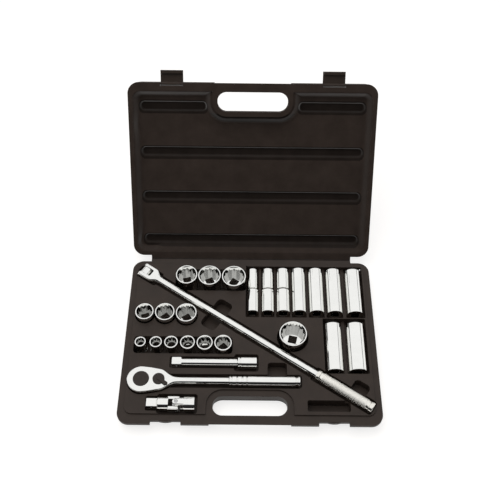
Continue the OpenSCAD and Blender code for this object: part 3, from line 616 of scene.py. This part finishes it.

# %% [markdown]
# ### Depth of the hollow
# The walls fall over 11 mm and the boss over 16 mm. They are steeper at the left,
# where the heads of the two long tools come close when the case is shut. The
# tray's lip stands round the boss then, so the skin leaves the boss's own wall
# only below that lip. Each groove, a band along its hinge-side edge, and the foot
# of the boss below the hand hole get a darker plastic: painted shade.

# %% Depth of the hollow
rim_drop, floor_drop, groove_drop, groove_wide = 0.5, 18.3, 6.2, 17.5
room = 6 * np.exp(-((gs - 20) / 20) ** 2) + 3.5 * np.exp(-((gs - 222) / 16) ** 2)
wall_run = 11 - room * eased((-150 - gx) / 15)
fall = np.minimum(np.clip(walls_off / wall_run, 0, 1), np.clip(boss_off / 16, 0, 1))
lip_room = 3.1 * eased((boss_off + 1.3) / 1.2) * (boss_off < walls_off)
depth = rim_drop + np.maximum(floor_drop * eased(fall ** 0.8), lip_room)

far_out = -50.0
# This field marks where the darker plastic paints shade: each groove, a band on its hinge side, and the foot
# of the boss below the hand hole.
grooves, shade_field = np.full_like(gx, far_out), np.full_like(gx, far_out)
groove_spans = [(-184, 184, near) for near in (15.5, 91.5, 167.5)] + [(74, 184, 242), (-184, -74, 242)]
for x0, x1, near in groove_spans:
    grooves = np.maximum(grooves, inside(gx, gs, x0, x1, near, near + groove_wide, 8))
    shade_field = np.maximum(shade_field, inside(gx, gs, x0 - 1.2, x1 + 1.2, near - 3.4, near + groove_wide + 0.8, 9))
boss_foot_shade = (boss_off > 0.3) & (boss_off < 10) & (gs < 241)
shade_field = np.maximum(shade_field, np.where(boss_foot_shade, 1.0, far_out))
depth += groove_drop * eased(grooves / 3.4)
print("deepest:", round(float(depth.max()), 2), "mm below the rim")

# %% [markdown]
# ### Skin of the hollow
# The field is worked out for the shut lid, where depth is simply height, and
# turned about the fold to where the open lid stands. Only the faces inside the
# hollow are kept.

# %% Skin of the hollow
closed_y, closed_z = -6 - gs, depth
open_y = fold_y + closed_y * math.cos(opening) + closed_z * math.sin(opening)
open_z = fold_z - closed_y * math.sin(opening) + closed_z * math.cos(opening)
lid_points = np.stack([gx, open_y, open_z], -1).reshape(-1, 3) / 1000
rows, columns = gx.shape
i, j = np.meshgrid(np.arange(rows - 1), np.arange(columns - 1), indexing="ij")
corner = i * columns + j
lid_faces = np.stack([corner, corner + 1, corner + columns + 1, corner + columns], -1).reshape(-1, 4)
in_hollow = np.minimum(walls_off, boss_off + 1.4).ravel()[lid_faces].max(1) > -0.01
in_shade_field = shade_field.ravel()[lid_faces].max(1) > 0.1
# The lid skin takes the lid's lighter plastic, which is painted light.
lid_inner = make("lid_inner_skin", lid_points, lid_faces[in_hollow].tolist(), lid_relit_plastic, "lid",
                 slot="case_plastic", sharp=80, closed=False)
# The marked faces take the darker plastic, which paints shade there.
lid_inner.data.materials.append(trough_plastic)
lid_inner.data.polygons.foreach_set("material_index", in_shade_field[in_hollow].astype(np.int32))
lid_inner.visible_glossy = False
print("lid skin:", len(lid_inner.data.polygons), "faces")

# %% [markdown]
# ## Sockets
# A socket is a thick ring with two different holes: a twelve-point broach for
# the bolt head, which is two hexagons a twelfth of a turn apart, and a square
# for the drive. Both are just a radius that depends on the angle, so one closed
# loop of rings makes the whole socket: up the outside, over the rim, down the
# broach, across the ledge and down the square.

# %% Radius of each hole
angles = np.linspace(0, 2 * np.pi, 120, endpoint=False)


def broach_radius(flats):
    """Half the width across flats over the cosine of the angle to the nearest
    flat, taken for both hexagons; the larger of the two."""
    a = (angles + np.pi / 6) % (np.pi / 3) - np.pi / 6
    b = angles % (np.pi / 3) - np.pi / 6
    return flats / 2 / np.minimum(np.cos(a), np.cos(b))


def square_radius(side, turn=0.0):
    """Half the side over the larger of the cosine and the sine, with the
    corners cut back a little."""
    a = angles - turn
    return np.minimum(side / 2 / np.maximum(np.abs(np.cos(a)), np.abs(np.sin(a))), side / 2 * 1.36)


print("points of a 20 mm broach reach", round(2 * float(broach_radius(20).max()), 1), "mm")

# %% [markdown]
# ### The rings of one socket
# The drive end is at height 0. A small deep socket is turned down behind its
# wrench end and has a groove at the step; a small upright one just widens. The
# broach ends on a ledge: wide sockets step straight down to the square, and
# narrow ones have a round bore between the two.

# %% Rings of a socket
deep_wrench_end, square_side, square_depth = 39.0, 12.95, 15.0


def socket_outside(wrench_r, drive_r, mouth, height, shoulder, groove):
    """Profile from the drive end up to the mouth, as (height, radius, rounding)."""
    line = [(0, drive_r - 2.2, 0), (0, drive_r, 0.9)]
    step = drive_r - wrench_r
    if groove:
        line += [(shoulder - 1.9, drive_r, 0.6), (shoulder - 1.0, wrench_r - 1.3, 0.3),
                 (shoulder + 0.9, wrench_r - 1.3, 0.3), (shoulder + 1.6, wrench_r, 0.2)]
    elif step > 0.3:
        line += [(shoulder, drive_r, 0.6), (shoulder + step, wrench_r, 0.6)]
    return line + [(height, wrench_r, min(0.9, 0.7 * (wrench_r - mouth))), (height, mouth + 0.1, 0)]


def socket_skin(flats, wrench_d, drive_d, height, shoulder, turn, groove):
    """Rings of a socket along its axis, each a height and a radius that may both
    change with the angle, and the number of the last ring of the broach."""
    mouth = max(flats / math.sqrt(3) + 0.5, wrench_d / 2 - 1.7)
    broach = min(0.95 * flats, height / 2)
    one = np.ones_like(angles)
    outside = socket_outside(wrench_d / 2, drive_d / 2, mouth, height, shoulder, groove)
    rings = [(h * one, r * one) for h, r in rounded(outside)]
    star, square = broach_radius(flats + 0.2), square_radius(square_side, turn)
    lead_in = np.minimum(1.7 * (mouth - star), 0.6 * broach) + 0.1
    rings += [(height * one, mouth * one), (height - lead_in, star), ((height - broach) * one, star)]
    broach_end = len(rings) - 1
    if flats / 2 > 9.32 and height < 45:
        rings += [((height - broach) * one, square + 0.35), ((height - broach - 0.35) * one, square)]
    else:
        bore = flats / 2 - 0.6
        rings += [((height - broach) * one, bore * one), ((square_depth + 0.1) * one, bore * one),
                  (square_depth * one, square)]
    rings += [(0.5 * one, square), (0 * one, square + 0.5)]
    h, r = np.array([x for x, _ in rings]), np.array([y for _, y in rings])
    return np.stack([h, r * np.cos(angles), r * np.sin(angles)], -1), broach_end


trial, _ = socket_skin(20, 28, 28, 40, 16, 0, False)
print("one socket:", trial.shape[0], "rings of", trial.shape[1], "points")

# %% [markdown]
# ### All the sockets
# The place and the height of each socket come from its solid, and its bolt size
# from its name. Nobody sets a socket into its case with care, so the upright
# ones each have their square turned their own way. The broach walls get a darker
# chrome, partly duller plate and partly painted shade, darker still in narrow
# sockets. The bottom of the groove gets the black oxide finish as painted shade.

# %% Dressing the sockets
stepped_ends = {"deep_socket_7_16": 16.8, "deep_socket_1_2": 19.3, "deep_socket_9_16": 21.4}
square_turns = {"socket_1": 14, "socket_1_1_16": 24, "socket_1_1_8": -32, "socket_1_1_4": -13,
                "socket_13_16": 18, "socket_7_8": 40, "socket_15_16": 33, "socket_3_4": 42}


def bolt_size(node):
    """Width across flats in millimetres, read from the inches in a node's name."""
    n = [int(k) for k in node.replace("deep_", "").split("_")[1:]]
    inches = n[0] if len(n) == 1 else n[0] / n[1] if len(n) == 2 else n[0] + n[1] / n[2]
    return 25.4 * inches


def socket_grid(node, flats):
    """Rings of a socket, the same in place, and the last ring of its broach."""
    low, high = box_mm(node)
    middle, drive_d = (low + high) / 2, high[0] - low[0]
    if node.startswith("deep"):
        height = high[1] - low[1]
        grid, broach_end = socket_skin(flats, stepped_ends.get(node, drive_d), drive_d, height,
                                       height - deep_wrench_end, 0.0, node in stepped_ends)
        return grid, placed(grid, (middle[0], low[1], middle[2]), (0, 1, 0), (0, 0, 1)), broach_end
    turn = math.radians(square_turns.get(node, 8))
    grid, broach_end = socket_skin(flats, 1.27 * flats + 3.3, drive_d, high[2] - low[2], 16.0, turn, False)
    return grid, placed(grid, (middle[0], middle[1], low[2]), (0, 0, 1), (1, 0, 0)), broach_end


def make_socket(node):
    """Dresses a socket: its broach walls get a darker chrome, partly duller plate and partly painted shade,
    and the bottom of its groove a painted line of shade.
    """
    flats, m = bolt_size(node), len(angles)
    grid, points, broach_end = socket_grid(node, flats)
    places, faces = skin(points, loop=True)
    piece = make(node + "_shell", places, faces, chrome, node, [node], "chrome", sharp=24)
    # The broach walls take a darker chrome: partly duller plate, partly painted shade, more of it in narrow
    # holes.
    piece.data.materials.append(narrow_broach_shaded_chrome if flats < 24 else broach_dull_shaded_chrome)
    piece.data.materials.append(black_oxide)
    finish_of = np.zeros((len(grid), m), np.int32)
    finish_of[broach_end - 1] = 1
    # The bottom of the groove gets the dark oxide finish as painted shade.
    if node in stepped_ends:
        along, radius = grid[:, 0, 0], np.hypot(grid[:, 0, 1], grid[:, 0, 2])
        shoulder = along.max() - deep_wrench_end
        groove_shade = (radius < stepped_ends[node] / 2 - 0.7) & (np.abs(along - shoulder) < 2.5)
        groove_shade &= np.arange(len(grid)) < broach_end
        finish_of[groove_shade & np.roll(groove_shade, -1)] = 2
    piece.data.polygons.foreach_set("material_index", finish_of.ravel())


socket_nodes = sorted(n for n in frame["nodes"] if n.startswith(("socket_", "deep_socket_")))
for node in socket_nodes:
    make_socket(node)
print(len(socket_nodes), "sockets dressed")

# %% [markdown]
# ## Handles and bars
# A forged handle changes its section along its length: flat and wide at the
# head, round at the neck, square at a drive. A superellipse covers all of these
# with one exponent: 2 is an ellipse, and the larger it is, the squarer the
# section. Carrying it along the axis gives the whole forging in one skin.

# %% Loft of superellipses
def lofted(stations, m=72):
    """Rings along X: each station is (x, half width, half height, exponent), and
    a ring's points are the signed powers 2/exponent of cosine and sine."""
    s = np.asarray(stations, float)
    a = np.linspace(0, 2 * np.pi, m, endpoint=False) + np.pi / m
    p = 2 / s[:, 3][:, None]
    c, d = np.cos(a)[None, :], np.sin(a)[None, :]
    y = s[:, 1][:, None] * np.sign(c) * np.abs(c) ** p
    z = s[:, 2][:, None] * np.sign(d) * np.abs(d) ** p
    return np.stack([s[:, 0][:, None] + 0 * y, y, z], -1)


def round_stations(profile):
    """The stations of a round bar, from its profile of (x, radius)."""
    return [(x, r, r, 2) for x, r in profile]


def smooth_through(x, knots):
    """A smooth curve through (x, value) knots: cubic steps whose slope at a knot
    is the mean of its neighbours', set to zero where they turn."""
    k = np.asarray(knots, float)
    d = np.diff(k[:, 1]) / np.diff(k[:, 0])
    slope = np.r_[d[0], np.where(d[:-1] * d[1:] > 0, (d[:-1] + d[1:]) / 2, 0), d[-1]]
    i = np.clip(np.searchsorted(k[:, 0], x) - 1, 0, len(k) - 2)
    w = k[i + 1, 0] - k[i, 0]
    t = np.clip((x - k[i, 0]) / w, 0, 1)
    return ((2 * t ** 3 - 3 * t ** 2 + 1) * k[i, 1] + (t ** 3 - 2 * t ** 2 + t) * w * slope[i]
            + (3 * t ** 2 - 2 * t ** 3) * k[i + 1, 1] + (t ** 3 - t ** 2) * w * slope[i + 1])


print("half way through a smooth step:", float(smooth_through(np.array([1.0]), [(0, 0), (2, 1)])[0]))

# %% [markdown]
# ### Cutting holes
# Bores and slots are cut with closed shapes and a Boolean modifier, which is
# applied at once, so that the piece is left as a plain mesh. The corners that a
# cut leaves are marked sharp afterwards.

# %% Cutters
def cut(piece, cutters):
    """Cuts holes in a piece with closed shapes, and applies the cuts."""
    for points, faces in cutters:
        mesh = bpy.data.meshes.new("cutter")
        mesh.from_pydata(np.asarray(points).tolist(), [], facing_out(points, faces))
        tool = bpy.data.objects.new("cutter", mesh)
        bpy.context.collection.objects.link(tool)
        change = piece.modifiers.new("cut", "BOOLEAN")
        change.operation, change.solver, change.object = "DIFFERENCE", "EXACT", tool
        bpy.context.view_layer.update()
        evaluated = piece.evaluated_get(bpy.context.evaluated_depsgraph_get())
        done = bpy.data.meshes.new_from_object(evaluated)
        piece.modifiers.clear()
        piece.data = done
        bpy.data.objects.remove(tool)
    piece.data.shade_smooth()
    piece.data.set_sharp_from_angle(angle=math.radians(32))


def plug(origin, radius, z0, z1, m=72):
    """A closed cylinder about Z at origin, in metres, from z0 to z1."""
    grid = turned([(z0, radius), (z1, radius)], m)
    return skin(placed(grid, origin, (0, 0, 1), (1, 0, 0)))


print("a plug has", len(plug((0, 0, 0), 5, 0, 1)[1]), "faces")

# %% [markdown]
# ## Ratchet
# The head is a flat pear that runs into a slim round neck. The grip is turned,
# with narrow grooves at its front and rings at its end. The head is bored for
# the gear and for the reversing lever, so their black discs sit in real holes.
# All is measured from the gear's axis, in the middle of the head's thickness.

# %% Head and neck
(gear_low, gear_high), body_box = box_mm("ratchet_drive_gear"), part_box("ratchet_body")
gear_at = np.array([(gear_low[0] + gear_high[0]) / 2, 1000 * (body_box[0][1] + body_box[1][1]) / 2,
                    gear_high[2] - 7.9])
lever_at = gear_at + (27, 0, 0)
head_r, head_half, head_square = 21.5, 7.5, 9

head_x = -head_r * np.cos(np.linspace(0.02, np.pi / 2, 26))
neck_x = np.linspace(0, 60, 46)[1:]
neck_wide = smooth_through(neck_x, [(0, head_r), (12, 20.2), (22, 18.4), (33, 16.0),
                                    (42, 10.4), (50, 6.6), (60, 5.9)])
neck_high = smooth_through(neck_x, [(0, head_half), (33, head_half), (42, 6.9), (60, 5.9)])
neck_square = smooth_through(neck_x, [(0, head_square), (30, 8), (44, 3.2), (60, 2)])
ratchet_line = [(x, math.sqrt(head_r ** 2 - x * x), head_half, head_square) for x in head_x]
ratchet_line += list(zip(neck_x, neck_wide, neck_high, neck_square))
print("gear at", np.round(gear_at, 1), "mm")

# %% [markdown]
# ### Turned grip
# Four grooves at the front of the grip give the fingers hold, and two rings
# close it at the back. They are written as the places where a lathe tool would
# plunge.

# %% Grip, and the whole forging
def grooved(x0, x1, radius, grooves, depth=1.1, width=2.3):
    """Profile of a turned grip from x0 to x1 with rounded grooves in it."""
    line = [(x0, radius, 0)]
    for g in grooves:
        line += [(g - width / 2, radius, 0.25), (g - width / 2 + 0.3, radius - depth, 0.3),
                 (g + width / 2 - 0.3, radius - depth, 0.3), (g + width / 2, radius, 0.25)]
    return line + [(x1, radius, 0)]


grip_r, grip_end = 8.3, 244
finger_grooves, end_rings = [138.8, 147.4, 155.4, 162.4], [237.4, 239.8]
grip_line = [(100, 5.95, 0), (134.5, 6.1, 0.6), (135.4, grip_r, 0.6)]
grip_line += grooved(136.2, 242, grip_r, finger_grooves + end_rings)[1:]
grip_line += [(grip_end, grip_r, 1.6), (grip_end, 2.0, 0), (grip_end, 0.8, 0)]
ratchet_line += round_stations(rounded(grip_line))
ratchet_shell = make("ratchet_forging", *skin(placed(lofted(ratchet_line, 96), gear_at)), chrome, "ratchet",
                     ["ratchet_body"], "chrome")
gear_bore, gear_mouth = plug(gear_at, 14.6, -9, 5.5), plug(gear_at, 12.55, 0, 9)
lever_bore = plug(lever_at, 9.5, 6.5, 9)
cut(ratchet_shell, [gear_bore, gear_mouth, lever_bore])
print("ratchet forging:", len(ratchet_shell.data.vertices), "points")

# %% [markdown]
# ### Discs and lever
# The gear's cap and the reversing lever are black oxide discs with a small
# chamfer. The lever's thumb tab is a low rounded bar that runs out past the disc.

# %% Gear cap and lever
cap_r, cap_top = 12.3, 8.1
cap = rounded([(5.0, cap_r, 0), (cap_top, cap_r, 0.6), (cap_top, 0.5, 0)])
make("ratchet_gear_cap", *skin(placed(turned(cap, 96), gear_at, (0, 0, 1), (1, 0, 0))), black_oxide,
     "ratchet_gear", slot="black_oxide")
disc_r, disc_top = 9.2, 9.0
disc = rounded([(6.6, 5.0, 0), (6.8, disc_r, 0.3), (disc_top, disc_r, 0.7), (disc_top, 0.5, 0)])
make("ratchet_lever_disc", *skin(placed(turned(disc, 80), lever_at, (0, 0, 1), (1, 0, 0))), black_oxide,
     "ratchet_lever", ["ratchet_reversing_lever"], "black_oxide")

u = np.linspace(0, 1, 40)
tab_half, tab_turn = 3.2, math.radians(-36)
tab_x = -2 + 19.2 * u
tab_tip = np.clip((tab_x - 14) / tab_half, 0, 1)
tab_wide = tab_half * np.sqrt(np.clip(1 - tab_tip ** 2, 0.0004, 1)) * (0.85 + 0.15 * u)
tab_high = (1.15 + 0.25 * np.sin(np.pi * u)) * np.clip((1 - u) * 12, 0.25, 1) ** 0.5
tab = np.stack([tab_x, tab_wide, tab_high, np.full(40, 3.0)], -1)
tab_points = placed(lofted(tab, 40), lever_at + (0, 0, 9.1), (math.cos(tab_turn), math.sin(tab_turn), 0))
make("ratchet_lever_tab", *skin(tab_points), black_oxide, "ratchet_lever", slot="black_oxide")
print("thumb tab:", round(float(tab_x[-1] - tab_x[0]), 1), "mm long")

# %% [markdown]
# ## Long flex-head handle
# The handle is a plain round bar that opens into a forged yoke at one end. The
# yoke holds the swivelling square between its two ears, so it is lofted whole
# and then slotted and bored. All is measured from the pin, along the bar.

# %% Yoke and bar
pivot = sum(box_mm("flex_handle_pin")) / 2
bar_turn = math.radians(-33.5)
bar_way = (math.cos(bar_turn), math.sin(bar_turn), 0)
pin_way = (-math.sin(bar_turn), math.cos(bar_turn), 0)
bar_r, ear_half, ear_r = 6.0, 8.5, 10

x = np.r_[-ear_r * np.cos(np.linspace(0.06, np.pi / 2, 16)), np.linspace(0, 34, 44)[1:]]
yoke_wide = smooth_through(x, [(-10, 12.0), (-7, 12.5), (14, 12.5), (18, 11.6), (27, 6.6), (34, bar_r)])
yoke_high = np.where(x < 0, np.minimum(ear_half, np.sqrt(np.clip(ear_r ** 2 - x * x, 0.3, None))),
                     smooth_through(x, [(0, ear_half), (15, ear_half), (26, 6.4), (34, bar_r)]))
yoke_square = smooth_through(x, [(-10, 6), (14, 6), (26, 2.4), (34, 2)])
collar = [(337, bar_r, 0.6), (337, 6.8, 0.4), (338.6, 6.8, 0.4), (338.6, 6.2, 0.2)]
bar_line = rounded([(40, bar_r, 0), (322, bar_r, 0)] + collar + [(430, 6.2, 0.2), (431, 5.6, 0)])
handle_line = list(zip(x, yoke_wide, yoke_high, yoke_square)) + round_stations(bar_line)
yoke = make("flex_handle_forging", *skin(placed(lofted(handle_line, 80), pivot, bar_way)), chrome,
            "flex_handle", ["flex_handle_bar"], "chrome")
slot_line = [(-14, 6.7, 12, 8), (10.2, 6.7, 12, 8), (12.4, 6.1, 12, 8), (13.1, 4.6, 12, 8)]
slot_cutter = skin(placed(lofted(slot_line, 40), pivot, bar_way))
pin_cutter = skin(placed(turned([(-14, 3.05), (14, 3.05)], 48), pivot, pin_way))
cut(yoke, [slot_cutter, pin_cutter])
print("yoke and bar:", len(yoke.data.vertices), "points")

# %% [markdown]
# ### Knurled grip
# The knurled grip is pressed over the other end. The knurl is two sets of
# crossing helical cuts: where the two waves meet, a small diamond stands. It is
# real relief and not a bump, because its glitter comes from facets.

# %% Knurled grip
def knurl(x0, x1, radius, depth, pitch, step):
    """Radius over a grip: two crossing helical waves, whose lesser height at
    each point leaves diamonds; it fades out at both ends."""
    around = int(round(2 * np.pi * radius / pitch))
    rows = int(round((x1 - x0) / pitch))
    x = np.linspace(x0, x1, rows * step + 1)
    a = np.linspace(0, 2 * np.pi, around * step, endpoint=False)
    turns = np.pi * rows * (x - x0) / (x1 - x0)
    wave_a = np.abs(np.sin(turns[:, None] + around * a[None, :] / 2))
    wave_b = np.abs(np.sin(turns[:, None] - around * a[None, :] / 2))
    fade = np.clip(np.minimum(x - x0, x1 - x) / 1.2, 0, 1)[:, None]
    r = radius - depth + depth * fade * np.minimum(wave_a, wave_b)
    return np.stack([x[:, None] + 0 * r, r * np.cos(a), r * np.sin(a)], -1), len(a)


sleeve_start, sleeve_end, sleeve_r, neck_r = 336.0, 435.0, 8.8, 7.9
field, m = knurl(sleeve_start + 10, sleeve_end - 10, sleeve_r, 0.55, 2.2, 6)
front_line = [(0.2, 6.4, 0), (0.2, 8.3, 0.5), (2.4, sleeve_r, 0.5), (5.6, sleeve_r, 0.4),
              (6.4, neck_r, 0.3), (8.2, neck_r, 0.3), (9.6, 8.25, 0)]
back_line = [(-9.6, 8.25, 0), (-8.2, neck_r, 0.3), (-6.6, neck_r, 0.3), (-5.8, sleeve_r, 0.4),
             (0, sleeve_r, 1.2), (0, 6.0, 0.8), (-3.6, 5.7, 0.4), (-3.6, 0.8, 0)]
front = turned(rounded([(sleeve_start + x, r, edge) for x, r, edge in front_line]), m)
back = turned(rounded([(sleeve_end + x, r, edge) for x, r, edge in back_line]), m)
sleeve = make("flex_handle_knurled_grip", *skin(placed(np.concatenate([front, field, back]), pivot, bar_way)),
              knurled_chrome, "flex_handle", ["flex_handle_grip"], "satin_chrome", sharp=60)
print("knurled grip:", len(sleeve.data.vertices), "points")

# %% [markdown]
# ## Extension bar
# The extension is one bar: a male square, a slim shank, and a barrel with the
# female square in its end. The skin runs down inside that square too.

# %% Extension
low, high = box_mm("extension_bar")
square_tip = np.array([low[0], (low[1] + high[1]) / 2, (low[2] + high[2]) / 2])
length = high[0] - low[0]
male_half, female_half, shank_r, barrel_r, groove_r = 6.35, 6.48, 6.1, 9.2, 8.3

extension_line = [(0, 5.4, 5.4, 9), (0.5, 6.1, 6.1, 11), (1.1, male_half, male_half, 13),
                  (14.2, male_half, male_half, 13), (14.8, male_half, male_half, 12),
                  (15.2, 6.3, 6.3, 5), (15.9, 6.2, 6.2, 2.2), (17, shank_r, shank_r, 2)]
barrel_line = [(-30.6, 6.2, 0.6), (-29, barrel_r, 0.9), (-26.6, barrel_r, 0.3), (-26.2, groove_r, 0.3),
               (-24.8, groove_r, 0.3), (-24.4, barrel_r, 0.3), (0, barrel_r, 0.9), (0, 8.2, 0)]
barrel_line = [(length + x, r, edge) for x, r, edge in barrel_line]
extension_line += round_stations(rounded([(20, shank_r, 0)] + barrel_line))
extension_line += [(length, 7.0, 7.0, 8), (length - 0.5, female_half, female_half, 13),
                   (length - 16, female_half, female_half, 13), (length - 16, 3, 3, 8)]
make("extension_forging", *skin(placed(lofted(extension_line, 72), square_tip)), chrome, "extension",
     ["extension_bar"], "chrome")
print("extension", round(length, 1), "mm long")
